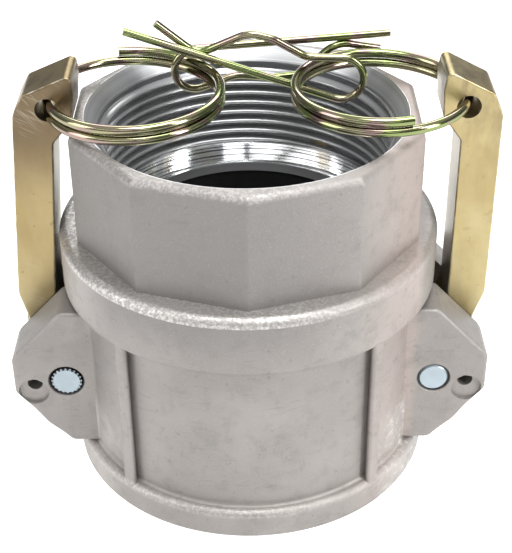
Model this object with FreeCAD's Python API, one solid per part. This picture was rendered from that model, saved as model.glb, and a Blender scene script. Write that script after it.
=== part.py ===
import FreeCAD, Part
import math
import os

# Cam and groove coupler, 2 inch, female coupler with a female pipe thread.
# Millimetres. The cup mouth rests on z = 0 and +Z points to the threaded end.
# The two cam arms stand at +X and -X and the ribbed panel faces -Y.

V = FreeCAD.Vector

# Cup and bore
CUP_BORE_R = 31.85
CUP_DEPTH = 44.6
MOUTH_CHAMFER = 1.2
GASKET_GROOVE_R = 33.6
GASKET_GROOVE_H = 6.6
WEB_T = 2.2
PASSAGE_R = 25.2

# Threaded end
THREAD_MAJOR_R = 29.8
THREAD_RELIEF_R = 30.3
THREAD_RELIEF_H = 2.1
THREAD_MOUTH_R = 32.2
THREAD_LEAD_H = 3.2
TOTAL_H = 79.0

# Outside of the casting
LIP_R = 38.65
LIP_H = 6.6
WALL_R = 36.35
SHOULDER_R = 39.2
SHOULDER_Z0 = 42.0
SHOULDER_Z1 = 55.0
HUB_SIDES = 10
HUB_VERTEX_R = 36.1
HUB_EDGE_R = 1.0
HUB_TOP_R = 1.6
RIB_X = 24.0
RIB_W = 2.5
RIB_PROUD = 2.1

# Ears, slots and pins
PIN_X = 38.7
PIN_Z = 23.7
PIN_R = 3.175
PIN_FIT = 0.05
EAR_GAP = 5.7
EAR_FACE = 16.2
EAR_REACH = 11.1
SLOT_BELOW = 11.2
SLOT_ABOVE = 12.3
KNURL_R = 3.5
KNURL_DEPTH = 0.55
KNURL_TEETH = 20
KNURL_L = 5.0
LOCK_X = 6.8
LOCK_Z = -1.0
LOCK_HOLE_R = 1.6

# Cam arms
ARM_HALF_W = 5.4
ARM_PIN_FIT = 0.075
ARM_EDGE_R = 0.4
CAM_R = 8.3
CAM_IN = 3.2
CAM_UP = 1.2
ARM_T = 7.95
ARM_SHOULDER_GAP = 2.8
RING_HOLE_IN = 1.1
RING_HOLE_RISE = 2.4
RING_HOLE_R = 2.4
LEFT_ARM_TILT = 4.4

# Pull rings
RING_WIRE_R = 0.95
RING_R = 17.0
RING_PITCH = 2.1
RING_OFFSET = 0.44
LEFT_RING_DROP = 0.7
RIGHT_RING_RISE = 0.35

# Safety clips
CLIP_WIRE_R = 0.8
CLIP_EYE_R = 4.5
RIGHT_CLIP_LEAN = 19.5
RIGHT_CLIP_FROM_HOLE = 23.9
RIGHT_CLIP_ASIDE = 8.4
RIGHT_CLIP_DROP = 0.1
RIGHT_CLIP_L = 44.6
LEFT_CLIP_FROM_HOLE = 28.36
LEFT_CLIP_ASIDE = 12.4
LEFT_CLIP_RISE = 0.433
LEFT_CLIP_L = 41.0

# Gasket
GASKET_FIT = 0.25
GASKET_GAP = 0.15
GASKET_IN_R = 25.4

# Sizes that follow from the ones above
ARM_IN_X = SHOULDER_R + ARM_SHOULDER_GAP - PIN_X
ARM_OUT_X = ARM_IN_X + ARM_T
RING_HOLE_X = ARM_IN_X + RING_HOLE_IN
RING_HOLE_Z = TOTAL_H + RING_HOLE_RISE - PIN_Z


def unit(v):
    w = V(v)
    w.normalize()
    return w


def rounded_edges(points, closed):
    """Lines with tangent arcs at the corners. Each point is (vector, corner radius)."""
    n = len(points)
    corners = []
    for i in range(n):
        p, r = points[i]
        if not closed and i in (0, n - 1):
            corners.append((p, p, p, False))
            continue
        before = points[(i - 1) % n][0]
        after = points[(i + 1) % n][0]
        a = unit(before - p)
        b = unit(after - p)
        inner = a.getAngle(b)
        if r <= 0 or inner > math.radians(179.5):
            corners.append((p, p, p, False))
            continue
        t = r / math.tan(inner / 2.0)
        bis = unit(a + b)
        centre = p + bis * (r / math.sin(inner / 2.0))
        mid = centre - bis * r
        corners.append((p + a * t, mid, p + b * t, True))
    edges = []
    count = n if closed else n - 1
    for i in range(n):
        start, mid, end, bent = corners[i]
        if bent:
            edges.append(Part.Arc(start, mid, end).toShape())
        if i < count:
            following = corners[(i + 1) % n][0]
            if (following - end).Length > 1e-4:
                edges.append(Part.makeLine(end, following))
    return edges


def revolved(profile):
    """A solid turned about Z from (radius, z, corner radius) points."""
    points = []
    for r, z, corner in profile:
        points.append((V(r, 0, z), corner))
    face = Part.Face(Part.Wire(rounded_edges(points, True)))
    return face.revolve(V(0, 0, 0), V(0, 0, 1), 360)


def plate_xz(profile, y0, y1):
    """A plate from (x, z, corner radius) points, from y0 to y1."""
    points = []
    for x, z, corner in profile:
        points.append((V(x, y0, z), corner))
    face = Part.Face(Part.Wire(rounded_edges(points, True)))
    return face.extrude(V(0, y1 - y0, 0))


def cylinder_y(r, x, z, y0, y1):
    return Part.makeCylinder(r, y1 - y0, V(x, y0, z), V(0, 1, 0))


def edges_on_y(shape, y):
    found = []
    for e in shape.Edges:
        box = e.BoundBox
        if abs(box.YMin - y) < 1e-3 and abs(box.YMax - y) < 1e-3:
            found.append(e)
    return found


def wire_solid(edges, r):
    """Round wire bent along the edges."""
    first = edges[0]
    start = first.valueAt(first.FirstParameter)
    along = first.tangentAt(first.FirstParameter)
    section = Part.Wire([Part.makeCircle(r, start, along)])
    path = Part.Wire(edges)
    return path.makePipeShell([section], True, True)


def mirrored_x(shape):
    return shape.mirror(V(0, 0, 0), V(1, 0, 0))


def outer_form():
    profile = [
        (0.0, 0.0, 0),
        (LIP_R, 0.0, 0.8),
        (LIP_R, LIP_H, 1.5),
        (WALL_R, LIP_H, 0.7),
        (WALL_R, SHOULDER_Z0, 1.2),
        (SHOULDER_R, SHOULDER_Z0, 1.2),
        (SHOULDER_R, SHOULDER_Z1, 1.7),
        (0.0, SHOULDER_Z1, 0),
    ]
    return revolved(profile)


def hub_form():
    points = []
    for k in range(HUB_SIDES):
        a = math.radians(-90.0 + k * 360.0 / HUB_SIDES)
        points.append((V(HUB_VERTEX_R * math.cos(a), HUB_VERTEX_R * math.sin(a), SHOULDER_Z1 - 1.0), HUB_EDGE_R))
    face = Part.Face(Part.Wire(rounded_edges(points, True)))
    solid = face.extrude(V(0, 0, TOTAL_H - SHOULDER_Z1 + 1.0))
    top = []
    for e in solid.Edges:
        if abs(e.BoundBox.ZMin - TOTAL_H) < 1e-3:
            top.append(e)
    return solid.makeFillet(HUB_TOP_R, top)


def rib(sx, sy):
    r = WALL_R + RIB_PROUD
    inside_y = math.sqrt(CUP_BORE_R ** 2 - RIB_X ** 2) + 1.0
    block = Part.makeBox(RIB_W, r, SHOULDER_Z0 - LIP_H + 2.0, V(RIB_X, inside_y, LIP_H - 1.0))
    solid = block.common(Part.makeCylinder(r, SHOULDER_Z1))
    upright = []
    for e in solid.Edges:
        box = e.BoundBox
        if box.ZLength > 0.5 * SHOULDER_Z0 and box.YMax > inside_y + 1.0:
            upright.append(e)
    solid = solid.makeFillet(0.7, upright)
    if sx < 0:
        solid = mirrored_x(solid)
    if sy < 0:
        solid = solid.mirror(V(0, 0, 0), V(0, 1, 0))
    return solid


def ear(sx, sy):
    """One ear about its pin: (outward, upward) points, rooted inside the cup wall."""
    root = math.sqrt(CUP_BORE_R ** 2 - EAR_FACE ** 2) + 1.5 - PIN_X
    profile = [
        (root, 17.2, 0),
        (0.3, 17.2, 2.0),
        (EAR_REACH - 0.9, 6.8, 2.0),
        (EAR_REACH, 5.3, 1.5),
        (EAR_REACH, -3.0, 1.5),
        (EAR_REACH - 3.6, -7.4, 3.0),
        (EAR_REACH - 6.2, -11.3, 4.0),
        (EAR_REACH - 9.3, -14.2, 3.0),
        (-0.1, -16.3, 2.0),
        (root, -16.3, 0),
    ]
    solid = plate_xz(profile, EAR_GAP, EAR_FACE)
    solid.translate(V(PIN_X, 0, PIN_Z))
    solid = solid.makeFillet(0.8, edges_on_y(solid, EAR_FACE))
    if sy < 0:
        solid = solid.mirror(V(0, 0, 0), V(0, 1, 0))
    if sx < 0:
        solid = mirrored_x(solid)
    return solid


def inner_form():
    groove_top = CUP_DEPTH + GASKET_GROOVE_H
    web_top = groove_top + WEB_T
    relief_top = web_top + THREAD_RELIEF_H
    lead = THREAD_MOUTH_R - THREAD_MAJOR_R
    profile = [
        (0.0, -1.0, 0),
        (CUP_BORE_R + MOUTH_CHAMFER + 1.0, -1.0, 0),
        (CUP_BORE_R, MOUTH_CHAMFER, 0),
        (CUP_BORE_R, CUP_DEPTH, 0),
        (GASKET_GROOVE_R, CUP_DEPTH, 0),
        (GASKET_GROOVE_R, groove_top, 0),
        (PASSAGE_R, groove_top, 0),
        (PASSAGE_R, web_top, 0),
        (THREAD_RELIEF_R, web_top, 0),
        (THREAD_RELIEF_R, relief_top, 0),
        (THREAD_MAJOR_R, relief_top + 0.5, 0),
        (THREAD_MAJOR_R, TOTAL_H - THREAD_LEAD_H, 0),
        (THREAD_MOUTH_R + lead / THREAD_LEAD_H, TOTAL_H + 1.0, 0),
        (0.0, TOTAL_H + 1.0, 0),
    ]
    return revolved(profile)


def slot():
    start = CUP_BORE_R - 5.85
    block = Part.makeBox(16.0, 2 * EAR_GAP, SLOT_BELOW + SLOT_ABOVE, V(start, -EAR_GAP, PIN_Z - SLOT_BELOW))
    along = []
    for e in block.Edges:
        if e.BoundBox.XLength > 10.0:
            along.append(e)
    return block.makeFillet(2.0, along)


def pin_hole(knurl_side):
    """The drilled hole for one pivot pin, wider where the knurled end is pressed in."""
    side = 1.0 if knurl_side > 0 else -1.0
    hole = cylinder_y(PIN_R + PIN_FIT, PIN_X, PIN_Z, -EAR_FACE - 1.0, EAR_FACE + 1.0)
    start = EAR_FACE - KNURL_L - 0.2
    wide = Part.makeCylinder(KNURL_R + PIN_FIT, KNURL_L + 1.2, V(PIN_X, side * start, PIN_Z), V(0, side, 0))
    hole = hole.fuse(wide)
    for s in (-1.0, 1.0):
        r = KNURL_R if s == side else PIN_R
        cone = Part.makeCone(r + PIN_FIT, r + PIN_FIT + 0.6, 0.6, V(PIN_X, s * (EAR_FACE - 0.4), PIN_Z), V(0, s, 0))
        hole = hole.fuse(cone)
    return hole


def lock_hole():
    x = PIN_X + LOCK_X
    z = PIN_Z + LOCK_Z
    hole = cylinder_y(LOCK_HOLE_R, x, z, -EAR_FACE - 1.0, EAR_FACE + 1.0)
    for s in (-1.0, 1.0):
        pocket = Part.makeCylinder(3.2, 2.0, V(x + 0.3, s * (EAR_FACE - 0.8), z - 1.7), V(0, s, 0))
        hole = hole.fuse(pocket)
    return hole


def coupler_body():
    body = outer_form().fuse(hub_form())
    for sx in (-1, 1):
        for sy in (-1, 1):
            body = body.fuse(rib(sx, sy))
            body = body.fuse(ear(sx, sy))
    body = body.removeSplitter()
    body = body.cut(inner_form())
    body = body.cut(slot())
    body = body.cut(mirrored_x(slot()))
    body = body.cut(pin_hole(1))
    body = body.cut(mirrored_x(pin_hole(-1)))
    body = body.cut(lock_hole())
    body = body.cut(mirrored_x(lock_hole()))
    return body.removeSplitter()


def cup_gasket():
    z0 = CUP_DEPTH + GASKET_GAP
    z1 = CUP_DEPTH + GASKET_GROOVE_H - GASKET_GAP
    r1 = GASKET_GROOVE_R - GASKET_FIT
    profile = [
        (GASKET_IN_R, z0, 0.9),
        (r1, z0, 0.6),
        (r1, z1, 0.6),
        (GASKET_IN_R, z1, 0.9),
    ]
    return revolved(profile)


def pivot_pin(knurl_side):
    """Plain pin with one knurled end. The knurled end shows at +Y or -Y."""
    half = EAR_FACE - 0.1
    pin = cylinder_y(PIN_R, 0, 0, -half, half)
    ends = []
    for e in pin.Edges:
        if e.BoundBox.YLength < 1e-3:
            ends.append(e)
    pin = pin.makeChamfer(0.35, ends)
    points = []
    for k in range(2 * KNURL_TEETH):
        a = math.pi * k / KNURL_TEETH
        r = KNURL_R if k % 2 == 0 else KNURL_R - KNURL_DEPTH
        points.append(V(r * math.cos(a), half - KNURL_L, r * math.sin(a)))
    points.append(points[0])
    teeth = Part.Face(Part.makePolygon(points)).extrude(V(0, KNURL_L - 0.15, 0))
    bevel = Part.makeCone(KNURL_R + 3.0, KNURL_R - 0.45, 3.45, V(0, half - 3.45, 0), V(0, 1, 0))
    teeth = teeth.common(bevel)
    pin = pin.fuse(teeth)
    if knurl_side < 0:
        pin = pin.mirror(V(0, 0, 0), V(0, 1, 0))
    return pin


def cam_arm():
    """The right arm about its own pin, standing upright with the hook to the inside."""
    r = CAM_R - 0.02
    low = math.radians(19.4)
    near = ARM_IN_X
    far = ARM_OUT_X
    top = RING_HOLE_Z
    tangent_x = -CAM_IN + CAM_R * math.sin(low)
    tangent_z = CAM_UP - CAM_R * math.cos(low)
    corner_z = tangent_z - (tangent_x + CAM_IN + CAM_R) * math.tan(low)
    boss_x = LOCK_X + 3.05
    boss_z = tangent_z + (boss_x - tangent_x) * math.tan(low)
    profile = [
        (near - 3.5, top + 7.7, 1.2),
        (far - 1.95, top + 2.7, 1.6),
        (far - 0.45, top - 0.6, 1.5),
        (far, top - 2.2, 2.0),
        (far, 14.5, 6.0),
        (far - 2.25, 7.8, 6.0),
        (boss_x, boss_z, 2.9),
        (-CAM_IN - CAM_R, corner_z, r),
        (-CAM_IN - CAM_R, CAM_UP + CAM_R, r),
        (near, CAM_UP + CAM_R, 2.5),
        (near, top - 7.3, 1.5),
        (near - 1.9, top - 4.7, 2.0),
        (near - 3.8, top - 2.1, 1.2),
        (near - 4.0, top + 3.4, 3.0),
    ]
    arm = plate_xz(profile, -ARM_HALF_W, ARM_HALF_W)
    rim = edges_on_y(arm, -ARM_HALF_W) + edges_on_y(arm, ARM_HALF_W)
    arm = arm.makeFillet(ARM_EDGE_R, rim)
    holes = [
        (0.0, 0.0, PIN_R + ARM_PIN_FIT),
        (LOCK_X, LOCK_Z, LOCK_HOLE_R),
        (RING_HOLE_X, RING_HOLE_Z, RING_HOLE_R),
    ]
    for x, z, radius in holes:
        arm = arm.cut(cylinder_y(radius, x, z, -10.0, 10.0))
    return arm


def right_arm_at_rest():
    arm = cam_arm()
    arm.translate(V(PIN_X, 0, PIN_Z))
    return arm


def left_arm_at_rest():
    arm = cam_arm()
    arm.rotate(V(0, 0, 0), V(0, 1, 0), -LEFT_ARM_TILT)
    arm.translate(V(PIN_X, 0, PIN_Z))
    return mirrored_x(arm)


def left_ring_hole():
    a = math.radians(LEFT_ARM_TILT)
    x = RING_HOLE_X * math.cos(a) - RING_HOLE_Z * math.sin(a)
    z = RING_HOLE_Z * math.cos(a) + RING_HOLE_X * math.sin(a)
    return V(-(PIN_X + x), 0, PIN_Z + z)


def right_ring_hole():
    return V(PIN_X + RING_HOLE_X, 0, PIN_Z + RING_HOLE_Z)


def ring_path():
    """Split ring about its hole, which is at the origin, with the ring to the +X side."""
    cx = RING_R - RING_OFFSET
    tilt = math.asin(RING_PITCH / 4.0 / RING_R)
    reach = RING_R * math.cos(tilt)
    rise = RING_R * math.sin(tilt)

    # Each half turn: from angle, to angle, level in pitches, slope
    half_turns = [
        (105.0, 0.0, 1.25, -1.0),
        (0.0, -180.0, 0.75, 1.0),
        (180.0, 0.0, 0.25, -1.0),
        (0.0, -175.0, -0.25, 1.0),
    ]
    edges = []
    for a0, a1, level, slope in half_turns:
        pts = []
        for f in (0.0, 0.5, 1.0):
            a = math.radians(a0 + (a1 - a0) * f)
            x = cx + reach * math.cos(a)
            y = RING_R * math.sin(a)
            z = level * RING_PITCH + slope * rise * math.cos(a)
            pts.append(V(x, y, z))
        edges.append(Part.Arc(pts[0], pts[1], pts[2]).toShape())
    return edges


def pull_ring():
    return wire_solid(ring_path(), RING_WIRE_R)


def left_pull_ring():
    ring = pull_ring()
    ring.rotate(V(0, 0, 0), V(0, 1, 0), LEFT_RING_DROP)
    ring.translate(left_ring_hole())
    return ring


def right_pull_ring():
    ring = pull_ring()
    ring.rotate(V(0, 0, 0), V(0, 1, 0), -RIGHT_RING_RISE)
    ring.rotate(V(0, 0, 0), V(0, 0, 1), 180)
    ring.translate(right_ring_hole())
    return ring


def clip_path(centre, u, v, straight_side, straight_l, leg):
    """Hitch clip: a straight leg, the round eye, and a waved leg that springs against it."""
    u = unit(u)
    v = unit(v - u * v.dot(u))
    s = straight_side

    side = u.cross(v)

    def at(a, b, w=0.0):
        return centre + u * a + v * (b * s) + side * w

    r = CLIP_EYE_R
    first = leg[0]
    d = math.hypot(first[0], first[1])
    t = math.atan2(first[1], first[0]) + math.acos(r / d)
    edges = [Part.makeLine(at(straight_l, -r), at(0, -r))]
    a0 = -90.0
    a1 = math.degrees(t) - 360.0
    half = math.radians((a0 + a1) / 2.0)
    mid = at(r * math.cos(half), r * math.sin(half))
    end = at(r * math.cos(t), r * math.sin(t))
    edges.append(Part.Arc(at(0, -r), mid, end).toShape())
    points = [(end, 0)]
    for a, b, w, corner in leg:
        points.append((at(a, b, w), corner))
    edges.extend(rounded_edges(points, False))
    return edges


# Waved legs: along the clip, across it, sideways, and the corner radius.
RIGHT_CLIP_LEG = [
    (8.3, 2.1, 0.0, 6.0),
    (16.0, 3.6, 0.0, 5.0),
    (21.0, 3.2, 0.0, 5.0),
    (29.0, -5.3, 2.0, 4.5),
    (39.0, -1.3, 1.2, 0.0),
]

LEFT_CLIP_LEG = [
    (8.3, 2.1, 0.0, 6.0),
    (16.0, 3.4, 0.0, 5.0),
    (22.2, 3.2, 0.0, 5.0),
    (29.4, -3.42, 0.0, 6.0),
    (39.0, -1.3, 0.0, 0.0),
]


def right_clip_path():
    centre = right_ring_hole() + V(-RIGHT_CLIP_FROM_HOLE, RIGHT_CLIP_ASIDE, -RIGHT_CLIP_DROP)
    lean = math.radians(RIGHT_CLIP_LEAN)
    u = V(-math.cos(lean), 0, math.sin(lean))
    v = V(math.sin(lean), 0, math.cos(lean))
    return clip_path(centre, u, v, 1.0, RIGHT_CLIP_L, RIGHT_CLIP_LEG)


def left_clip_path():
    centre = left_ring_hole() + V(LEFT_CLIP_FROM_HOLE, LEFT_CLIP_ASIDE, LEFT_CLIP_RISE)
    u = V(1.0, 0.215, -0.018)
    v = V(0.0, 0.0, 1.0)
    return clip_path(centre, u, v, -1.0, LEFT_CLIP_L, LEFT_CLIP_LEG)


def right_clip():
    return wire_solid(right_clip_path(), CLIP_WIRE_R)


def left_clip():
    return wire_solid(left_clip_path(), CLIP_WIRE_R)


def right_pin():
    pin = pivot_pin(1)
    pin.translate(V(PIN_X, 0, PIN_Z))
    return pin


def left_pin():
    pin = pivot_pin(-1)
    pin.translate(V(-PIN_X, 0, PIN_Z))
    return pin


def main():
    os.makedirs("parts", exist_ok=True)
    nodes = [
        ("coupler_body", coupler_body),
        ("cup_gasket", cup_gasket),
        ("pivot_pin_left", left_pin),
        ("pivot_pin_right", right_pin),
        ("cam_arm_left", left_arm_at_rest),
        ("cam_arm_right", right_arm_at_rest),
        ("pull_ring_left", left_pull_ring),
        ("pull_ring_right", right_pull_ring),
        ("safety_clip_left", left_clip),
        ("safety_clip_right", right_clip),
    ]
    for name, make in nodes:
        shape = make()
        solids = shape.Solids
        print(name, len(solids), round(shape.Volume, 1), shape.isValid())
        if len(solids) == 1:
            shape = solids[0]
        shape.exportStep("parts/" + name + ".step")


if __name__ == "__main__":
    main()
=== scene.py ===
import math

import bmesh
import bpy
from bpy.props import FloatProperty, FloatVectorProperty, IntProperty, PointerProperty
from mathutils import Matrix, Vector


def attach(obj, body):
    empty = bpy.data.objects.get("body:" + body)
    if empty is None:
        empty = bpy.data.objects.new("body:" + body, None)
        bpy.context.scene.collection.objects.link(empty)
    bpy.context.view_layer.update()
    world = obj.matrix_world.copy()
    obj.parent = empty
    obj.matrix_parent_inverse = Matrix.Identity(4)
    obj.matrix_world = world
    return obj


bl_info = {
    "name": "Cam and Groove Coupler",
    "version": (1, 0, 0),
    "blender": (4, 5, 0),
    "location": "View3D > Sidebar > Coupler",
    "description": "Dresses a two inch cam and groove coupler and sets up its studio",
    "category": "Object",
}

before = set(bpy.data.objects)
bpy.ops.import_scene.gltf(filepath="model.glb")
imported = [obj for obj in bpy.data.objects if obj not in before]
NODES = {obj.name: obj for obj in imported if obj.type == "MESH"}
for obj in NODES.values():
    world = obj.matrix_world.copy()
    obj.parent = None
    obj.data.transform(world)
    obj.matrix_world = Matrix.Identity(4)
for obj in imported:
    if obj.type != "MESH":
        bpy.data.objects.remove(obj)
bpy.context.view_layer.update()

MM = 0.001
BODY = "body"

# Arms: node, side of the hub and how much darker the arm has gone with handling
ARM_PIECES = (("cam_arm_left", -1.0, 0.22), ("cam_arm_right", 1.0, 0.0))
# Pins: node and whether its knurled end is in front
PIN_PIECES = (("pivot_pin_left", True), ("pivot_pin_right", False))
WIRE_PIECES = ("pull_ring_left", "pull_ring_right", "safety_clip_left", "safety_clip_right")

# Places on the coupler: X from its axis, Z up from the cup mouth, R a radius
PIN_X = 38.7 * MM
PIN_Z = 23.7 * MM
# how far the painted shade reaches round a pin's plain end and round its knurled end
PLAIN_PIN_SHADE_R = 3.48 * MM
KNURL_PIN_SHADE_R = 3.78 * MM
# the outline of the knurled end: its teeth, its mean radius and how far it swings to either side
KNURL_TEETH = 20.0
KNURL_R = 2.98 * MM
KNURL_SWING = 0.24 * MM
# the ears stand out from here, and below the lip's top only the lip does
EAR_START_R = 36.8 * MM
LIP_EDGE_Z = 6.2 * MM
LIP_TOP_Z = 7.5 * MM
WEB_EDGE_Z = 53.2 * MM
SHOULDER_EDGE_Z = 54.1 * MM
UPPER_BORE_Z = 60.0 * MM
HUB_EDGE_Z = 78.7 * MM
GROOVE_REACH_R = 33.8 * MM
MOUTH_REACH_R = 32.3 * MM

# Tool marks below the thread: height, half of the width and soft edge
TOOL_MARKS = (
    (54.1 * MM, 0.12 * MM, 0.10 * MM),
    (54.9 * MM, 0.06 * MM, 0.08 * MM),
    (55.7 * MM, 0.06 * MM, 0.08 * MM),
)
# Scratches on the brass: slant in degrees and strength
SCRATCHES = ((38.0, 0.04), (64.0, 0.02))

# Marks in patches: scale, detail and roughness of their noise, then the values of it at which a patch
# begins and at which it is full
RUBBED_PATCHES = (1500.0, 3.0, 0.7, 0.44, 0.60)
CAST_FLAKES = (560.0, 3.0, 0.7, 0.53, 0.60)
CAST_SMUDGES = (85.0, 4.0, 0.6, 0.52, 0.70)
CAST_MOTTLE = (300.0, 3.0, 0.6, 0.50, 0.68)
CAST_PITS = (700.0, 2.0, 0.5, 0.66, 0.74)
CAST_SCUFFS = (1.0, 2.0, 0.5, 0.62, 0.74)
BRASS_SMUDGES = (130.0, 4.0, 0.62, 0.42, 0.66)
BRASS_PITS = (620.0, 1.0, 0.4, 0.70, 0.74)
BRASS_EDGES = (420.0, 3.0, 0.6, 0.38, 0.62)
SCRATCHED_PLACES = (75.0, 2.0, 0.5, 0.48, 0.66)
SCRATCH_LINES = (1.0, 1.0, 0.4, 0.58, 0.72)
GREEN_CAST = (95.0, 2.0, 0.5, 0.45, 0.62)
ROSE_CAST = (160.0, 2.0, 0.5, 0.50, 0.64)
# How the noise of marks that run one way is stretched along X, Y and Z
SCUFF_STRETCH = (150.0, 150.0, 1300.0)
STREAK_STRETCH = (900.0, 900.0, 60.0)
SCRATCH_STRETCH = (3600.0, 3600.0, 150.0)

# Where the painted shade and painted light of the cast skin, and its rubbed lip, begin and end
HUB_SHADE_Z = (40.0 * MM, 56.0 * MM)
LEFT_SHADE_X = (0.0, 30.0 * MM)
RIGHT_LIGHT_X = (18.0 * MM, 33.0 * MM)
BEFORE_EARS_X = (33.5 * MM, 35.5 * MM)
FLANK_START_X = (25.0 * MM, 33.0 * MM)
FLANK_END_X = (37.0 * MM, 38.0 * MM)
FLANK_TOP_Z = (15.0 * MM, 21.0 * MM)
LIP_RIM_R = (36.6 * MM, 37.4 * MM)
# Where the brass turns brown from being held, where it takes smudges and where its sawn shank starts
HELD_Z = (59.0 * MM, 78.0 * MM)
HANDLED_Z = (66.0 * MM, 92.0 * MM)
SHANK_Z = (36.0 * MM, 38.0 * MM)

# Section of the thread's ridge: points across it, its width as a share of the pitch, how deep its foot sits
# in the wall and how much deeper the edges that close it
RIDGE_POINTS = 10
RIDGE_WIDTH = 0.98
FOOT_DEPTH = 0.08 * MM
CLOSING_DEPTH = 0.35 * MM
# The ridge rises and dies away over these parts of a turn
FADE_IN = 0.25
FADE_OUT = 0.5

# Lights: name, place, height that they aim at, width and height, share of the key power
LIGHTS = (
    ("key_top", (0.10, -0.12, 0.80), 0.05, (0.50, 0.40), 2.0),
    ("fill_left", (-0.70, -0.25, 0.35), 0.05, (0.35, 0.60), 0.80),
    ("fill_right", (0.60, -0.35, 0.35), 0.05, (0.18, 0.60), 1.5),
    ("back_top", (0.05, 0.60, 0.55), 0.06, (0.60, 0.25), 0.9),
)
# Windows that the turned bore mirrors: degrees round from straight ahead, and width
WINDOWS = ((11.5, 0.23), (-31.0, 0.90), (-70.0, 0.24))
WINDOW_DISTANCE = 0.8
WINDOW_Z = 0.50
WINDOW_H = 0.085
WINDOW_AIM_Z = 0.05
# Power of a window for each square metre
WINDOW_POWER = 4.2 * math.pi
FLOOR_REACH = 6.0
# The studio: its colours near the horizon and overhead, the heights between which it changes, its strength
HORIZON_COLOUR = (0.26, 0.26, 0.27)
OVERHEAD_COLOUR = (1.0, 1.0, 1.0)
STUDIO_FADE = (0.42, 0.85)
STUDIO_STRENGTH = 0.85


def colour(name, description, default):
    return FloatVectorProperty(
        name=name,
        description=description,
        subtype="COLOR",
        size=3,
        min=0.0,
        max=1.0,
        default=default,
    )


def length(name, description, default):
    return FloatProperty(name=name, description=description, unit="LENGTH", default=default, precision=5)


def number(name, description, default):
    return FloatProperty(name=name, description=description, default=default)


def angle(name, description, degrees):
    return FloatProperty(name=name, description=description, subtype="ANGLE", default=math.radians(degrees))


class CouplerFinishSettings(bpy.types.PropertyGroup):
    """Colours and finishes of the coupler's parts."""

    cast_colour: colour("Cast metal", "Sand-grey skin of the casting", (0.282, 0.264, 0.248))
    # rubbed bright metal, which also paints light on the edges of the casting
    cast_rubbed_and_lit: colour("Rubbed metal", "Where the skin is rubbed bright on edges", (0.62, 0.60, 0.575))
    cast_roughness: number("Cast roughness", "How dull the cast skin is", 0.52)
    machined_colour: colour("Machined metal", "Turned surfaces inside the bore", (0.80, 0.81, 0.82))
    # painted shade in the thread's roots and in the cup below the web, with some dirt, and the dark of the
    # tool marks
    groove_dirt_and_shade_colour: colour("Groove dirt", "Dark film at the bottom of the thread", (0.05, 0.05, 0.055))
    brass_colour: colour("Brass", "Satin brass of the cam arms", (0.437, 0.369, 0.186))
    brass_pale: colour("Sawn brass", "Paler face of each arm towards the hub", (0.44, 0.412, 0.345))
    brass_tarnish: colour("Tarnish", "Brown tarnish where the arms are handled", (0.13, 0.095, 0.06))
    pin_colour: colour("Pin zinc", "Bright zinc on the pivot pins", (0.340, 0.397, 0.434))
    # painted shade in the gaps round the pins and in the notches of the knurl
    painted_pin_shade_colour: colour("Grease", "Black grease round the pins", (0.012, 0.012, 0.013))
    wire_gold: colour("Wire gold", "Yellow zinc on rings and clips", (0.285, 0.268, 0.165))
    wire_green: colour("Wire green", "Green cast in the yellow zinc", (0.215, 0.262, 0.105))
    wire_rose: colour("Wire rose", "Rose cast in the yellow zinc", (0.290, 0.212, 0.185))
    rubber_colour: colour("Rubber", "Gasket rubber", (0.004, 0.004, 0.004))


class PipeThreadSettings(bpy.types.PropertyGroup):
    """Sizes of the pipe thread in the hub."""

    pitch: length("Pitch", "Rise of the thread in one turn", 2.309 * MM)
    root_radius: length("Root radius", "Radius at the bottom of the groove", 29.8 * MM)
    crest_radius: length("Crest radius", "Radius at the top of the ridge", 28.4 * MM)
    start_height: length("Start height", "Height of the lowest ridge", 56.6 * MM)
    turns: number("Turns", "Number of turns of thread", 8.25)
    steps: IntProperty(name="Steps", description="Faces round one turn", default=110)


class CouplerStageSettings(bpy.types.PropertyGroup):
    """Camera, floor and lights."""

    floor_colour: colour("Floor", "Plain pale floor", (0.45, 0.45, 0.45))
    floor_glow: number("Floor glow", "Light of the floor's own, which fades the shadows", 0.96)
    focal_length: number("Focal length", "Camera lens in millimetres", 84.63)
    camera_distance: length("Camera distance", "From the aim point to the camera", 279.3 * MM)
    camera_elevation: angle("Elevation", "Camera angle above the horizon", 33.42)
    camera_roll: angle("Roll", "Turn of the camera about its view", -0.57)
    aim: FloatVectorProperty(
        name="Aim",
        description="Point the camera looks at",
        subtype="TRANSLATION",
        default=(1.49 * MM, 0.0, 39.07 * MM),
    )
    key_power: number("Key light", "Power that the lights share", 3.2)


# Materials


def new_material(name):
    material = bpy.data.materials.new(name)
    material.use_nodes = True
    tree = material.node_tree
    tree.nodes.clear()
    out = tree.nodes.new("ShaderNodeOutputMaterial")
    shader = tree.nodes.new("ShaderNodeBsdfPrincipled")
    tree.links.new(shader.outputs["BSDF"], out.inputs["Surface"])
    return material, tree, shader


def feed(tree, socket, value):
    """Links a socket to another one, or sets it to a number or a colour."""
    if hasattr(value, "node"):
        tree.links.new(value, socket)
    elif socket.type == "RGBA":
        socket.default_value = (*value, 1.0)
    else:
        socket.default_value = value


def set_finish(tree, shader, base, metallic, roughness):
    for name, value in (("Base Color", base), ("Metallic", metallic), ("Roughness", roughness)):
        feed(tree, shader.inputs[name], value)


def math_node(tree, operation, *values, clamp=False):
    node = tree.nodes.new("ShaderNodeMath")
    node.operation = operation
    node.use_clamp = clamp
    for socket, value in zip(node.inputs, values):
        feed(tree, socket, value)
    return node.outputs[0]


def product(tree, *factors):
    """The factors multiplied together."""
    result = factors[0]
    for factor in factors[1:]:
        result = math_node(tree, "MULTIPLY", result, factor)
    return result


def greatest(tree, *values):
    """The greatest of the values."""
    result = values[0]
    for value in values[1:]:
        result = math_node(tree, "MAXIMUM", result, value)
    return result


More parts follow.
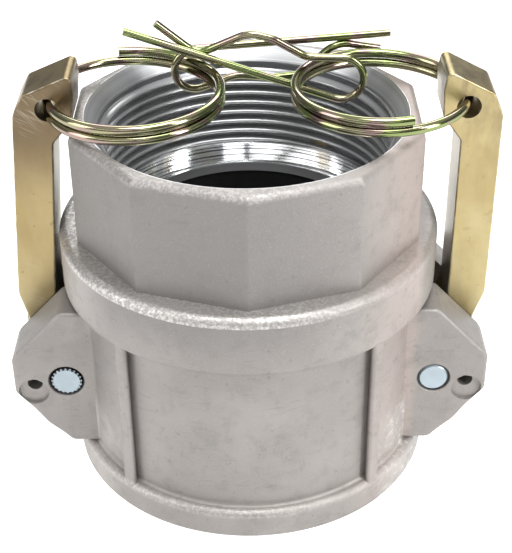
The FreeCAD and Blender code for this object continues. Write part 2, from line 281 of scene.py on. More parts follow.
def level(tree, mask, low, high, clamp=False):
    """Low where the mask is 0 and high where it is 1."""
    return math_node(tree, "MULTIPLY_ADD", mask, high - low, low, clamp=clamp)


def distance(tree, a, b):
    """How far a point is from an axis, when it is a to one side of it and b to the other."""
    return math_node(tree, "SQRT", math_node(tree, "ADD", product(tree, a, a), product(tree, b, b)))


def ramp_between(tree, value, low, high, flip=False):
    """Rises from 0 at low to 1 at high, or falls from 1 to 0."""
    node = tree.nodes.new("ShaderNodeMapRange")
    node.interpolation_type = "SMOOTHSTEP"
    ends = (1.0, 0.0) if flip else (0.0, 1.0)
    names = ("Value", "From Min", "From Max", "To Min", "To Max")
    for name, given in zip(names, (value, low, high, *ends)):
        feed(tree, node.inputs[name], given)
    return node.outputs["Result"]


def band(tree, value, centre, half, soft):
    """1 where value is within half of centre, falling to 0 over soft."""
    off = math_node(tree, "ABSOLUTE", math_node(tree, "SUBTRACT", value, centre))
    return ramp_between(tree, off, half, half + soft, flip=True)


def noise(tree, vector, scale, detail, roughness):
    node = tree.nodes.new("ShaderNodeTexNoise")
    names = ("Vector", "Scale", "Detail", "Roughness")
    for name, given in zip(names, (vector, scale, detail, roughness)):
        feed(tree, node.inputs[name], given)
    return node.outputs["Fac"]


def stretched(tree, vector, scale, turn=0.0):
    """Stretches a texture along the axes, after a turn in degrees about the view from the front."""
    if turn:
        first = tree.nodes.new("ShaderNodeMapping")
        first.inputs["Rotation"].default_value = (0.0, math.radians(turn), 0.0)
        tree.links.new(vector, first.inputs["Vector"])
        vector = first.outputs["Vector"]
    node = tree.nodes.new("ShaderNodeMapping")
    node.inputs["Scale"].default_value = scale
    tree.links.new(vector, node.inputs["Vector"])
    return node.outputs["Vector"]


def times(colour, *factors):
    """A colour times one factor, or times one each for red, green and blue."""
    if len(factors) == 1:
        factors = factors * 3
    return tuple(c * k for c, k in zip(colour, factors))


def mix_colour(tree, factor, a, b):
    """Colour a where the factor is 0 and colour b where it is 1."""
    node = tree.nodes.new("ShaderNodeMix")
    node.data_type = "RGBA"
    # its sockets share their names, so the colours go by number
    for index, given in ((0, factor), (6, a), (7, b)):
        feed(tree, node.inputs[index], given)
    return node.outputs[2]


def lay(tree, base, colour, *masks):
    """Lays a colour over the base as far as all the masks let it."""
    return mix_colour(tree, product(tree, *masks), base, colour)


def fill_metal_grain(group, given, result):
    """Fine grain of metal skins: a speckle mask, a slow stain mask and a height."""
    grain = noise(group, given["Vector"], given["Grain scale"], 2.0, 0.6)
    stain = noise(group, given["Vector"], given["Stain scale"], 4.0, 0.55)
    feed(group, result["Speckle"], ramp_between(group, grain, 0.52, 0.72))
    feed(group, result["Stain"], ramp_between(group, stain, 0.35, 0.70))
    feed(group, result["Height"], grain)


def fill_turned_lines(group, given, result):
    """Fine lines round the axis, as a lathe tool leaves on walls and on faces."""
    join = group.nodes.new("ShaderNodeCombineXYZ")
    feed(group, join.inputs["X"], given["Radius"])
    feed(group, join.inputs["Z"], given["Height"])
    feed(group, result["Lines"], noise(group, join.outputs[0], given["Scale"], 2.0, 0.5))


def fill_patches(group, given, result):
    """A mask in patches: 1 where a noise is above High and 0 where it is below Low."""
    cloud = noise(group, given["Vector"], given["Scale"], given["Detail"], given["Roughness"])
    feed(group, result["Mask"], ramp_between(group, cloud, given["Low"], given["High"]))


# Effects that materials share: inputs, outputs and what fills the node group
EFFECTS = {
    "Metal grain": (
        ("Vector", "Grain scale", "Stain scale"),
        ("Speckle", "Stain", "Height"),
        fill_metal_grain,
    ),
    "Turned lines": (("Radius", "Height", "Scale"), ("Lines",), fill_turned_lines),
    "Patches": (("Vector", "Scale", "Detail", "Roughness", "Low", "High"), ("Mask",), fill_patches),
}


def effect_group(name):
    """The node group of an effect, built the first time it is asked for."""
    if name in bpy.data.node_groups:
        return bpy.data.node_groups[name]
    inputs, outputs, fill = EFFECTS[name]
    group = bpy.data.node_groups.new(name, "ShaderNodeTree")
    for socket in inputs:
        kind = "NodeSocketVector" if socket == "Vector" else "NodeSocketFloat"
        group.interface.new_socket(socket, in_out="INPUT", socket_type=kind)
    for socket in outputs:
        group.interface.new_socket(socket, in_out="OUTPUT", socket_type="NodeSocketFloat")
    source = group.nodes.new("NodeGroupInput")
    sink = group.nodes.new("NodeGroupOutput")
    fill(group, source.outputs, sink.inputs)
    return group


def effect(tree, name, *values):
    """Places an effect in a material with a value for each input, and returns its outputs."""
    node = tree.nodes.new("ShaderNodeGroup")
    node.node_tree = effect_group(name)
    for socket, value in zip(node.inputs, values):
        feed(tree, socket, value)
    return node.outputs


def metal_grain(tree, position, grain_scale, stain_scale):
    return effect(tree, "Metal grain", position, grain_scale, stain_scale)


def turned_lines(tree, radius, height, scale):
    return effect(tree, "Turned lines", radius, height, scale)["Lines"]


def patches(tree, vector, pattern):
    return effect(tree, "Patches", vector, *pattern)["Mask"]


def add_bump(tree, shader, height, strength, depth):
    bump = tree.nodes.new("ShaderNodeBump")
    bump.inputs["Strength"].default_value = strength
    bump.inputs["Distance"].default_value = depth
    tree.links.new(height, bump.inputs["Height"])
    tree.links.new(bump.outputs["Normal"], shader.inputs["Normal"])


def split_vector(tree, vector):
    """The x, y and z of a vector."""
    node = tree.nodes.new("ShaderNodeSeparateXYZ")
    tree.links.new(vector, node.inputs[0])
    return node.outputs


def object_place(tree):
    """The place on the object, as a vector and as its x, y and z."""
    node = tree.nodes.new("ShaderNodeTexCoord")
    return node.outputs["Object"], split_vector(tree, node.outputs["Object"])


def object_facing(tree):
    """The x, y and z of the way a surface faces."""
    node = tree.nodes.new("ShaderNodeTexCoord")
    return split_vector(tree, node.outputs["Normal"])


def about_pin(tree, xyz):
    """The place about the nearer pin's axis: how far out from the hub, and how far up."""
    out = math_node(tree, "SUBTRACT", math_node(tree, "ABSOLUTE", xyz[0]), PIN_X)
    up = math_node(tree, "SUBTRACT", xyz[2], PIN_Z)
    return out, up


def rubbed_and_lit_edges(tree, position, radius, xyz):
    """Where the casting is rubbed bright, with painted light on these edges: the edges of the shoulder, the
    hub and the lip.
    """
    shoulder = band(tree, xyz[2], SHOULDER_EDGE_Z, half=0.9 * MM, soft=0.15 * MM)
    hub = band(tree, xyz[2], HUB_EDGE_Z, half=0.5 * MM, soft=0.8 * MM)
    lip = band(tree, xyz[2], LIP_EDGE_Z, half=0.5 * MM, soft=0.9 * MM)
    lip = product(tree, lip, ramp_between(tree, radius, *LIP_RIM_R))
    edges = greatest(tree, shoulder, product(tree, hub, 0.45), product(tree, lip, 0.45))
    # in patches, with painted light: brighter on the left and less round to the right
    patch = patches(tree, position, RUBBED_PATCHES)
    left = ramp_between(tree, xyz[0], 0.0, 22.0 * MM, flip=True)
    return product(tree, edges, level(tree, patch, 0.32, 1.0), level(tree, left, 0.14, 0.76))


def painted_shade_and_light(tree, look, skin, radius, xyz, position):
    """Painted shade and painted light on the cast skin, changing slowly from hub to cup and from left to
    right.
    """
    cast = look.cast_colour
    width = math_node(tree, "ABSOLUTE", xyz[0])
    # painted shade: the hub is darker than the cup below it, less so round to the right
    high = ramp_between(tree, xyz[2], *HUB_SHADE_Z)
    left = ramp_between(tree, xyz[0], *LEFT_SHADE_X, flip=True)
    skin = lay(tree, skin, times(cast, 0.66, 0.67, 0.68), high, left, 0.92)
    # painted light: the right side of the casting is painted warmer and paler, up to the ears
    right = ramp_between(tree, xyz[0], *RIGHT_LIGHT_X)
    before_ears = ramp_between(tree, xyz[0], *BEFORE_EARS_X, flip=True)
    skin = lay(tree, skin, times(cast, 1.26, 1.13, 1.11), right, before_ears, 0.8)
    # painted light: the sides of the cup below the ears are paler; the flakes of bare metal to the right
    # are wear
    off_ears = greatest(
        tree,
        math_node(tree, "LESS_THAN", radius, EAR_START_R),
        math_node(tree, "LESS_THAN", xyz[2], LIP_TOP_Z),
    )
    flank = product(
        tree,
        ramp_between(tree, width, *FLANK_START_X),
        ramp_between(tree, width, *FLANK_END_X, flip=True),
        ramp_between(tree, xyz[2], *FLANK_TOP_Z, flip=True),
        off_ears,
    )
    skin = lay(tree, skin, times(cast, 1.45), flank, 0.8)
    flakes = patches(tree, position, CAST_FLAKES)
    on_right = math_node(tree, "GREATER_THAN", xyz[0], 0.0)
    skin = lay(tree, skin, times(look.cast_rubbed_and_lit, 0.85), flakes, on_right, flank)
    # painted light: the left side of the shoulder is paler too
    shoulder = band(tree, xyz[2], 48.5 * MM, half=4.5 * MM, soft=1.0 * MM)
    far_left = ramp_between(tree, xyz[0], -35.0 * MM, -25.0 * MM, flip=True)
    return lay(tree, skin, times(cast, 1.25), shoulder, far_left, 0.8)


def worn_skin_and_pin_shade(tree, look, skin, xyz, position):
    """Smudges, pits and scuffs of the cast skin, and painted shade in the gap round the pins."""
    cast = look.cast_colour
    smudge = patches(tree, stretched(tree, position, (1.0, 1.0, 1.5)), CAST_SMUDGES)
    smudge = product(tree, smudge, 0.24)
    mottle = patches(tree, position, CAST_MOTTLE)
    skin = lay(tree, skin, times(cast, 0.55), math_node(tree, "MULTIPLY_ADD", mottle, 0.24, smudge))
    pits = patches(tree, position, CAST_PITS)
    along = stretched(tree, position, SCUFF_STRETCH, 6.0)
    scuffs = product(tree, patches(tree, along, CAST_SCUFFS), 0.6)
    skin = lay(tree, skin, times(cast, 0.40), greatest(tree, pits, scuffs), 0.30)
    # painted shade in the gap round the pins, reaching further out round the left pin, whose knurled end is
    # in front
    reach = level(tree, math_node(tree, "LESS_THAN", xyz[0], 0.0), PLAIN_PIN_SHADE_R, KNURL_PIN_SHADE_R)
    pin_shade_mask = math_node(tree, "SUBTRACT", distance(tree, *about_pin(tree, xyz)), reach)
    pin_shade_mask = ramp_between(tree, pin_shade_mask, -0.05 * MM, 0.07 * MM, flip=True)
    return lay(tree, skin, look.painted_pin_shade_colour, pin_shade_mask, 0.85)


def bore_metal(tree, look, lines, radius, z, upper, dull):
    """Colour of the turned bore, with painted shade and some dirt in the thread's roots, tool marks and a
    dull cup darkened with painted shade.
    """
    metal = mix_colour(tree, lines, times(look.machined_colour, 0.8), look.machined_colour)
    # painted shade, with some dirt, in the roots of the thread
    root = product(
        tree,
        ramp_between(tree, radius, 29.95 * MM, 30.1 * MM, flip=True),
        ramp_between(tree, z, 55.9 * MM, 56.1 * MM),
        0.6,
    )
    marks = greatest(tree, *(band(tree, z, *mark) for mark in TOOL_MARKS))
    marks = product(tree, marks, ramp_between(tree, radius, 28.0 * MM, 29.0 * MM))
    metal = lay(tree, metal, look.groove_dirt_and_shade_colour, greatest(tree, root, marks), 0.8)
    rings = ramp_between(tree, turned_lines(tree, radius, z, 1100.0), 0.40, 0.60)
    metal = lay(tree, metal, times(look.machined_colour, 0.45), rings, upper, 0.45)
    # painted shade: the cup below the web is darkened
    return lay(tree, metal, look.groove_dirt_and_shade_colour, dull, 0.66)


def cast_body_material(look):
    """Sand-cast skin outside, and turned metal inside the bore."""
    material, tree, shader = new_material("Sand cast aluminium")
    position, xyz = object_place(tree)
    radius = distance(tree, xyz[0], xyz[1])
    # turned surfaces reach out to the gasket groove low down, and to the thread's mouth at the top
    upper = math_node(tree, "GREATER_THAN", xyz[2], UPPER_BORE_Z)
    inside = math_node(tree, "LESS_THAN", radius, level(tree, upper, GROOVE_REACH_R, MOUTH_REACH_R))
    outside = math_node(tree, "SUBTRACT", 1.0, inside)
    # the edge of the web and the cup below it are dull, and darkened with painted shade
    dull = math_node(tree, "LESS_THAN", xyz[2], WEB_EDGE_Z)
    grain = metal_grain(tree, position, 2600.0, 55.0)
    lines = turned_lines(tree, radius, xyz[2], 2600.0)
    # rubbed edges with painted light, brighter to the left
    rubbed = rubbed_and_lit_edges(tree, position, radius, xyz)
    bright = greatest(tree, rubbed, product(tree, grain["Speckle"], 0.07))

    skin = mix_colour(tree, grain["Stain"], times(look.cast_colour, 0.86), look.cast_colour)
    skin = painted_shade_and_light(tree, look, skin, radius, xyz, position)
    skin = worn_skin_and_pin_shade(tree, look, skin, xyz, position)
    skin = lay(tree, skin, look.cast_rubbed_and_lit, bright)
    metal = bore_metal(tree, look, lines, radius, xyz[2], upper, dull)
    base = mix_colour(tree, inside, skin, metal)

    # the mouth of the thread is brushed, and the cup is duller still
    turned = level(tree, lines, 0.07, 0.14)
    turned = math_node(tree, "ADD", turned, product(tree, dull, 0.35))
    turned = math_node(tree, "ADD", turned, product(tree, upper, 0.26))
    rough = level(tree, bright, look.cast_roughness, look.cast_roughness - 0.18)
    rough = math_node(tree, "ADD", product(tree, rough, outside), product(tree, turned, inside))
    metallic = level(tree, greatest(tree, bright, inside), 0.55, 1.0, clamp=True)
    set_finish(tree, shader, base, metallic, rough)
    height = product(tree, grain["Height"], outside)
    height = math_node(tree, "ADD", height, product(tree, lines, inside, 0.05))
    add_bump(tree, shader, height, 0.5, 0.18 * MM)
    return material


def turned_metal_material(look):
    """Cut metal of the thread, with painted shade and some dirt in its roots."""
    material, tree, shader = new_material("Turned aluminium")
    xyz = object_place(tree)[1]
    radius = distance(tree, xyz[0], xyz[1])
    lines = turned_lines(tree, radius, xyz[2], 5200.0)
    cut = times(look.machined_colour, 0.47)
    metal = mix_colour(tree, lines, times(cut, 0.75), cut)
    # painted shade, with some dirt, in the roots of the thread
    root = ramp_between(tree, radius, 29.3 * MM, 29.85 * MM)
    metal = lay(tree, metal, look.groove_dirt_and_shade_colour, root, 0.25)
    set_finish(tree, shader, metal, metallic=0.70, roughness=level(tree, lines, 0.14, 0.30))
    add_bump(tree, shader, lines, 0.2, 0.03 * MM)
    return material


def brass_tarnish_layer(tree, look, base, xyz, position, cheek, worn):
    """Brown tarnish towards the head, where a hand holds the arm, and in the pits."""
    held = product(tree, ramp_between(tree, xyz[2], *HELD_Z), 4.1 * worn)
    base = lay(tree, base, look.brass_tarnish, held, level(tree, cheek, 0.25, 1.0))
    handled = ramp_between(tree, xyz[2], *HANDLED_Z)
    smudge = patches(tree, stretched(tree, position, (1.6, 1.0, 0.7)), BRASS_SMUDGES)
    base = lay(tree, base, look.brass_tarnish, smudge, level(tree, handled, 0.12, 0.67))
    pits = patches(tree, position, BRASS_PITS)
    return lay(tree, base, look.brass_tarnish, pits, 0.16 + worn)


def brass_scratch_layer(tree, look, base, position, sideways, worn):
    """Slanting scratches in patches, and edges rubbed bright."""
    places = patches(tree, position, SCRATCHED_PLACES)
    for slant, amount in SCRATCHES:
        along = stretched(tree, position, SCRATCH_STRETCH, slant)
        lines = patches(tree, along, SCRATCH_LINES)
        base = lay(tree, base, look.brass_pale, lines, places, amount + worn)
    edge = band(tree, sideways, 0.60, half=0.22, soft=0.10)
    patch = patches(tree, position, BRASS_EDGES)
    return lay(tree, base, times(look.brass_pale, 1.5), edge, patch, 0.6)


def brass_material(look, name, side, worn):
    """Satin brass. The face towards the hub is paler, as sawn and rubbed metal is."""
    material, tree, shader = new_material(name)
    position, xyz = object_place(tree)
    facing = object_facing(tree)
    sideways = math_node(tree, "ABSOLUTE", facing[1])
    grain = metal_grain(tree, position, 900.0, 70.0)
    streak = noise(tree, stretched(tree, position, STREAK_STRETCH), 1.0, 3.0, 0.6)
    warm = times(look.brass_colour, 1.0 - 0.80 * worn, 1.0 - worn, 1.0 - 1.15 * worn)
    base = mix_colour(tree, grain["Stain"], times(warm, 0.80, 0.74, 0.62), warm)
    base = lay(tree, base, look.brass_pale, streak, 0.25)
    towards_hub = ramp_between(tree, product(tree, facing[0], -side), 0.75, 0.95)
    shank = ramp_between(tree, xyz[2], *SHANK_Z)
    base = lay(tree, base, look.brass_pale, towards_hub, shank, 0.9)
    cheek = ramp_between(tree, sideways, 0.4, 0.9)
    base = brass_tarnish_layer(tree, look, base, xyz, position, cheek, worn)
    base = brass_scratch_layer(tree, look, base, position, sideways, worn)
    set_finish(tree, shader, base, metallic=1.0, roughness=level(tree, streak, 0.26, 0.48))
    height = math_node(tree, "ADD", streak, product(tree, grain["Height"], 0.5))
    add_bump(tree, shader, height, 0.25, 0.12 * MM)
    return material


def pin_material(look, name, knurled):
    """Bright zinc with painted shade on its sides. The notches of a knurled end get painted shade too, on
    their upper half.
    """
    material, tree, shader = new_material(name)
    position, xyz = object_place(tree)
    grain = metal_grain(tree, position, 1200.0, 300.0)
    base = mix_colour(tree, grain["Stain"], times(look.pin_colour, 0.88), look.pin_colour)
    sideways = math_node(tree, "ABSOLUTE", object_facing(tree)[1])
    # painted shade on the pin's sides, where the gap of its hole is in shade
    base = lay(tree, base, look.painted_pin_shade_colour, ramp_between(tree, sideways, 0.45, 0.85, flip=True), 0.96)
    if knurled:
        # painted shade in the notches of the knurled end, on their upper half only
        out, up = about_pin(tree, xyz)
        wave = math_node(tree, "COSINE", product(tree, math_node(tree, "ARCTAN2", up, out), KNURL_TEETH))
        edge = math_node(tree, "MULTIPLY_ADD", wave, KNURL_SWING, KNURL_R)
        beyond = math_node(tree, "SUBTRACT", distance(tree, out, up), edge)
        notch = ramp_between(tree, beyond, -0.04 * MM, 0.04 * MM)
        upper = ramp_between(tree, up, -1.2 * MM, 0.8 * MM)
        base = lay(tree, base, look.painted_pin_shade_colour, notch, upper, 0.95)
    set_finish(tree, shader, base, metallic=0.75, roughness=level(tree, grain["Speckle"], 0.34, 0.49))
    return material


def wire_material(look):
    """Yellow zinc: gold wire with green and rose casts that drift along it."""
    material, tree, shader = new_material("Yellow zinc wire")
    position = object_place(tree)[0]
    green = patches(tree, position, GREEN_CAST)
    rose = patches(tree, stretched(tree, position, (1.0, 1.3, 2.2)), ROSE_CAST)
    base = mix_colour(tree, green, look.wire_gold, look.wire_green)
    base = lay(tree, base, look.wire_rose, rose)
    set_finish(tree, shader, base, metallic=1.0, roughness=0.13)
    return material


def rubber_material(look):
    """Dull black rubber with a faint bloom."""
    material, tree, shader = new_material("Black rubber")
    grain = metal_grain(tree, object_place(tree)[0], 1100.0, 200.0)
    base = mix_colour(tree, grain["Stain"], look.rubber_colour, times(look.rubber_colour, 1.8))
    set_finish(tree, shader, base, metallic=0.0, roughness=0.70)
    shader.inputs["Specular IOR Level"].default_value = 0.15
    return material


def give(obj, material):
    obj.data.materials.clear()
    obj.data.materials.append(material)


# Pipe thread


def thread_node_tree():
    """Geometry nodes: a strip wound into a helix, its section a ridge that fades at both ends."""
    tree = bpy.data.node_groups.new("Pipe thread ridge", "GeometryNodeTree")
    face = tree.interface
    face.new_socket("Geometry", in_out="OUTPUT", socket_type="NodeSocketGeometry")
    for name in ("Pitch", "Root radius", "Crest radius", "Start height", "Turns"):
        face.new_socket(name, in_out="INPUT", socket_type="NodeSocketFloat")
    face.new_socket("Steps", in_out="INPUT", socket_type="NodeSocketInt")
    face.new_socket("Material", in_out="INPUT", socket_type="NodeSocketMaterial")
    source = tree.nodes.new("NodeGroupInput")
    sink = tree.nodes.new("NodeGroupOutput")

    def value(name):
        return source.outputs[name]

    whole = tree.nodes.new("FunctionNodeFloatToInt")
    tree.links.new(product(tree, value("Turns"), value("Steps")), whole.inputs[0])
    strip = tree.nodes.new("GeometryNodeMeshGrid")
    strip.inputs["Size X"].default_value = 1.0
    strip.inputs["Size Y"].default_value = RIDGE_POINTS + 1.0
    strip.inputs["Vertices Y"].default_value = RIDGE_POINTS + 2
    tree.links.new(whole.outputs[0], strip.inputs["Vertices X"])
    where = tree.nodes.new("GeometryNodeInputPosition")
    on_strip = split_vector(tree, where.outputs[0])
    # the ridge's points lie between -1 and 1 across it, and one beyond each edge closes it inside the wall
    across = math_node(tree, "DIVIDE", on_strip[1], (RIDGE_POINTS - 1) / 2)
    closing = math_node(tree, "GREATER_THAN", math_node(tree, "ABSOLUTE", across), 1.1)
    on_ridge = math_node(tree, "SUBTRACT", 1.0, closing)
    # turns done so far, and a fade at both ends
    done = product(tree, math_node(tree, "ADD", on_strip[0], 0.5), value("Turns"))
    left = math_node(tree, "SUBTRACT", value("Turns"), done)
    fade_in = math_node(tree, "DIVIDE", done, FADE_IN, clamp=True)
    fade_out = math_node(tree, "DIVIDE", left, FADE_OUT, clamp=True)
    fade = product(tree, fade_in, fade_out)
    wave = math_node(tree, "COSINE", product(tree, across, math.pi))
    depth = math_node(tree, "SUBTRACT", value("Root radius"), value("Crest radius"))
    ridge = product(tree, depth, fade, math_node(tree, "MULTIPLY_ADD", wave, 0.5, 0.5), on_ridge)
    foot = math_node(tree, "ADD", value("Root radius"), FOOT_DEPTH)
    radius = math_node(tree, "SUBTRACT", foot, ridge)
    radius = math_node(tree, "ADD", radius, product(tree, closing, CLOSING_DEPTH, fade))
    half = product(tree, across, RIDGE_WIDTH / 2, value("Pitch"), on_ridge, fade)
    rise = math_node(tree, "MULTIPLY_ADD", done, value("Pitch"), value("Start height"))
    height = math_node(tree, "ADD", rise, half)
    turn = product(tree, done, 2.0 * math.pi)
    place = tree.nodes.new("ShaderNodeCombineXYZ")
    tree.links.new(product(tree, radius, math_node(tree, "COSINE", turn)), place.inputs[0])
    tree.links.new(product(tree, radius, math_node(tree, "SINE", turn)), place.inputs[1])
    tree.links.new(height, place.inputs[2])
    wind = tree.nodes.new("GeometryNodeSetPosition")
    tree.links.new(strip.outputs["Mesh"], wind.inputs["Geometry"])
    tree.links.new(place.outputs[0], wind.inputs["Position"])
    close = tree.nodes.new("GeometryNodeMergeByDistance")
    close.inputs["Distance"].default_value = 0.01 * MM
    tree.links.new(wind.outputs["Geometry"], close.inputs["Geometry"])
    real = tree.nodes.new("GeometryNodeRealizeInstances")
    tree.links.new(close.outputs["Geometry"], real.inputs["Geometry"])
    paint = tree.nodes.new("GeometryNodeSetMaterial")
    tree.links.new(real.outputs["Geometry"], paint.inputs["Geometry"])
    tree.links.new(value("Material"), paint.inputs["Material"])
    tree.links.new(paint.outputs["Geometry"], sink.inputs["Geometry"])
    return tree


def plain_mesh(name, tree, values):
    """Runs a node tree once and returns its result as an ordinary mesh object."""
    host = bpy.data.objects.new(name + "_source", bpy.data.meshes.new(name + "_source"))
    bpy.context.scene.collection.objects.link(host)
    modifier = host.modifiers.new("Build", "NODES")
    modifier.node_group = tree
    for item in tree.interface.items_tree:
        if item.item_type == "SOCKET" and item.in_out == "INPUT":
            modifier[item.identifier] = values[item.name]
    host.data.update()
    graph = bpy.context.evaluated_depsgraph_get()
    mesh = bpy.data.meshes.new_from_object(host.evaluated_get(graph))
    host.modifiers.remove(modifier)
    bpy.data.objects.remove(host)
    mesh.name = name
    obj = bpy.data.objects.new(name, mesh)
    bpy.context.scene.collection.objects.link(obj)
    return obj


def closed_and_outward(obj):
    """Closes the ends of a mesh and turns its faces outward."""
    work = bmesh.new()
    work.from_mesh(obj.data)
    bmesh.ops.remove_doubles(work, verts=work.verts, dist=0.005 * MM)
    bmesh.ops.holes_fill(work, edges=[e for e in work.edges if e.is_boundary], sides=8)
    bmesh.ops.recalc_face_normals(work, faces=work.faces)
    work.to_mesh(obj.data)
    work.free()


# Operators


class COUPLER_OT_cast_body(bpy.types.Operator):
    """Finish the cast body and its machined bore"""

    bl_idname = "coupler.cast_body"
    bl_label = "Cast Body"

    def execute(self, context):
        give(NODES["coupler_body"], cast_body_material(context.scene.coupler_finish))
        return {"FINISHED"}


class COUPLER_OT_pipe_thread(bpy.types.Operator):
    """Cut the pipe thread into the hub"""

    bl_idname = "coupler.pipe_thread"
    bl_label = "Pipe Thread"

    def execute(self, context):
        sizes = context.scene.coupler_thread
        metal = turned_metal_material(context.scene.coupler_finish)
        values = {
            "Pitch": sizes.pitch,
            "Root radius": sizes.root_radius,
            "Crest radius": sizes.crest_radius,
            "Start height": sizes.start_height,
            "Turns": sizes.turns,
            "Steps": sizes.steps,
            "Material": metal,
        }
        thread = plain_mesh("pipe_thread_ridge", thread_node_tree(), values)
        if len(thread.data.polygons) < 1000:
            raise RuntimeError("the thread came out empty")
        closed_and_outward(thread)
        thread.data.polygons.foreach_set("use_smooth", [True] * len(thread.data.polygons))
        give(thread, metal)
        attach(thread, BODY)
        return {"FINISHED"}


class COUPLER_OT_cup_gasket(bpy.types.Operator):
    """Finish the rubber gasket in the cup"""

    bl_idname = "coupler.cup_gasket"
    bl_label = "Cup Gasket"

    def execute(self, context):
        give(NODES["cup_gasket"], rubber_material(context.scene.coupler_finish))
        return {"FINISHED"}


class COUPLER_OT_cam_arms(bpy.types.Operator):
    """Finish the two brass cam arms"""

    bl_idname = "coupler.cam_arms"
    bl_label = "Cam Arms"

    def execute(self, context):
        look = context.scene.coupler_finish
        for name, side, worn in ARM_PIECES:
            give(NODES[name], brass_material(look, "Satin brass " + name.split("_")[-1], side, worn))
        return {"FINISHED"}


class COUPLER_OT_pivot_pins(bpy.types.Operator):
    """Finish the two pivot pins"""

    bl_idname = "coupler.pivot_pins"
    bl_label = "Pivot Pins"

    def execute(self, context):
        look = context.scene.coupler_finish
        for name, knurled in PIN_PIECES:
            give(NODES[name], pin_material(look, "Bright zinc " + name.split("_")[-1], knurled))
        return {"FINISHED"}


class COUPLER_OT_rings_and_clips(bpy.types.Operator):
    """Finish the pull rings and safety clips"""

    bl_idname = "coupler.rings_and_clips"
    bl_label = "Rings and Clips"

    def execute(self, context):
        metal = wire_material(context.scene.coupler_finish)
        for name in WIRE_PIECES:
            give(NODES[name], metal)
        return {"FINISHED"}


# Stage


def lay_floor(stage):
    mesh = bpy.data.meshes.new("floor")
    r = FLOOR_REACH
    mesh.from_pydata([(-r, -r, 0), (r, -r, 0), (r, r, 0), (-r, r, 0)], [], [(0, 1, 2, 3)])
    floor = bpy.data.objects.new("floor", mesh)
    bpy.context.scene.collection.objects.link(floor)
    material, tree, shader = new_material("Pale floor")
    set_finish(tree, shader, stage.floor_colour, metallic=0.0, roughness=0.85)
    shader.inputs["Emission Color"].default_value = (1.0, 1.0, 1.0, 1.0)
    shader.inputs["Emission Strength"].default_value = stage.floor_glow
    give(floor, material)


def place_camera(stage):
    back = Vector((0.0, -math.cos(stage.camera_elevation), math.sin(stage.camera_elevation)))
    level_right = Vector((1.0, 0.0, 0.0))
    level_up = back.cross(level_right)
    roll = stage.camera_roll
    right = level_right * math.cos(roll) + level_up * math.sin(roll)
    up = level_up * math.cos(roll) - level_right * math.sin(roll)
    data = bpy.data.cameras.new("photo_camera")
    data.sensor_fit = "AUTO"
    data.sensor_width = 36.0
    data.lens = stage.focal_length
    data.clip_start = 0.01
    data.clip_end = 20.0
    camera = bpy.data.objects.new("photo_camera", data)
    bpy.context.scene.collection.objects.link(camera)
    place = Vector(stage.aim) + back * stage.camera_distance
    turn = Matrix((right, up, back)).transposed().to_4x4()
    camera.matrix_world = Matrix.Translation(place) @ turn
    bpy.context.scene.camera = camera


def area_light(name, place, aim_z, size, power):
    data = bpy.data.lights.new(name, "AREA")
    data.shape = "RECTANGLE"
    data.size, data.size_y = size
    data.energy = power
    light = bpy.data.objects.new(name, data)
    bpy.context.scene.collection.objects.link(light)
    light.location = place
    light.rotation_mode = "QUATERNION"
    towards = Vector((0.0, 0.0, aim_z)) - Vector(place)
    light.rotation_quaternion = towards.to_track_quat("-Z", "Y")


def place_lights(stage):
    for name, place, aim_z, size, share in LIGHTS:
        area_light(name, place, aim_z, size, stage.key_power * share)
    for i, (degrees, width) in enumerate(WINDOWS):
        turn = math.radians(degrees)
        place = (WINDOW_DISTANCE * math.sin(turn), -WINDOW_DISTANCE * math.cos(turn), WINDOW_Z)
        power = WINDOW_POWER * width * WINDOW_H
        area_light(f"window_{i + 1}", place, WINDOW_AIM_Z, (width, WINDOW_H), power)


def build_studio():
    """A studio that is darker towards the horizon, so that bright metal has something dark to mirror."""
    world = bpy.data.worlds.new("studio")
    world.use_nodes = True
    tree = world.node_tree
    where = tree.nodes.new("ShaderNodeTexCoord")
    height = split_vector(tree, where.outputs["Generated"])[2]
    shade = mix_colour(tree, ramp_between(tree, height, *STUDIO_FADE), HORIZON_COLOUR, OVERHEAD_COLOUR)
    backdrop = tree.nodes["Background"]
    tree.links.new(shade, backdrop.inputs["Color"])
    backdrop.inputs["Strength"].default_value = STUDIO_STRENGTH
    bpy.context.scene.world = world


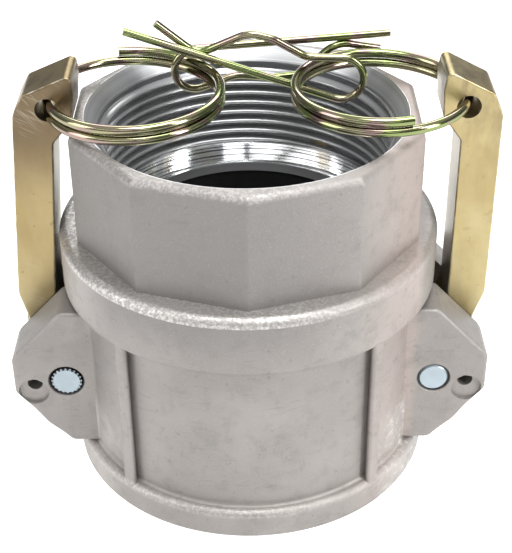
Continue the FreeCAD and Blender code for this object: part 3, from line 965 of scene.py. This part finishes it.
class COUPLER_OT_stage(bpy.types.Operator):
    """Set up the floor, the lights and the camera"""

    bl_idname = "coupler.stage"
    bl_label = "Stage"

    def execute(self, context):
        stage = context.scene.coupler_stage
        lay_floor(stage)
        place_camera(stage)
        place_lights(stage)
        build_studio()
        context.scene.view_settings.view_transform = "Standard"
        return {"FINISHED"}


OPERATORS = (
    COUPLER_OT_cast_body,
    COUPLER_OT_pipe_thread,
    COUPLER_OT_cup_gasket,
    COUPLER_OT_cam_arms,
    COUPLER_OT_pivot_pins,
    COUPLER_OT_rings_and_clips,
    COUPLER_OT_stage,
)


class COUPLER_PT_panel(bpy.types.Panel):
    """Lists the coupler's pieces and their settings"""

    bl_idname = "COUPLER_PT_panel"
    bl_label = "Coupler"
    bl_space_type = "VIEW_3D"
    bl_region_type = "UI"
    bl_category = "Coupler"

    def draw(self, context):
        layout = self.layout
        for operator in OPERATORS:
            layout.operator(operator.bl_idname)
        for name in ("coupler_finish", "coupler_thread", "coupler_stage"):
            group = getattr(context.scene, name)
            box = layout.box()
            for key in group.__annotations__:
                box.prop(group, key)


SETTINGS = (
    ("coupler_finish", CouplerFinishSettings),
    ("coupler_thread", PipeThreadSettings),
    ("coupler_stage", CouplerStageSettings),
)


def register():
    for name, group in SETTINGS:
        bpy.utils.register_class(group)
        setattr(bpy.types.Scene, name, PointerProperty(type=group))
    for operator in OPERATORS:
        bpy.utils.register_class(operator)
    bpy.utils.register_class(COUPLER_PT_panel)


def unregister():
    bpy.utils.unregister_class(COUPLER_PT_panel)
    for operator in reversed(OPERATORS):
        bpy.utils.unregister_class(operator)
    for name, group in reversed(SETTINGS):
        delattr(bpy.types.Scene, name)
        bpy.utils.unregister_class(group)


def main():
    register()
    bpy.ops.coupler.cast_body()
    bpy.ops.coupler.pipe_thread()
    bpy.ops.coupler.cup_gasket()
    bpy.ops.coupler.cam_arms()
    bpy.ops.coupler.pivot_pins()
    bpy.ops.coupler.rings_and_clips()
    bpy.ops.coupler.stage()


if __name__ == "__main__":
    main()
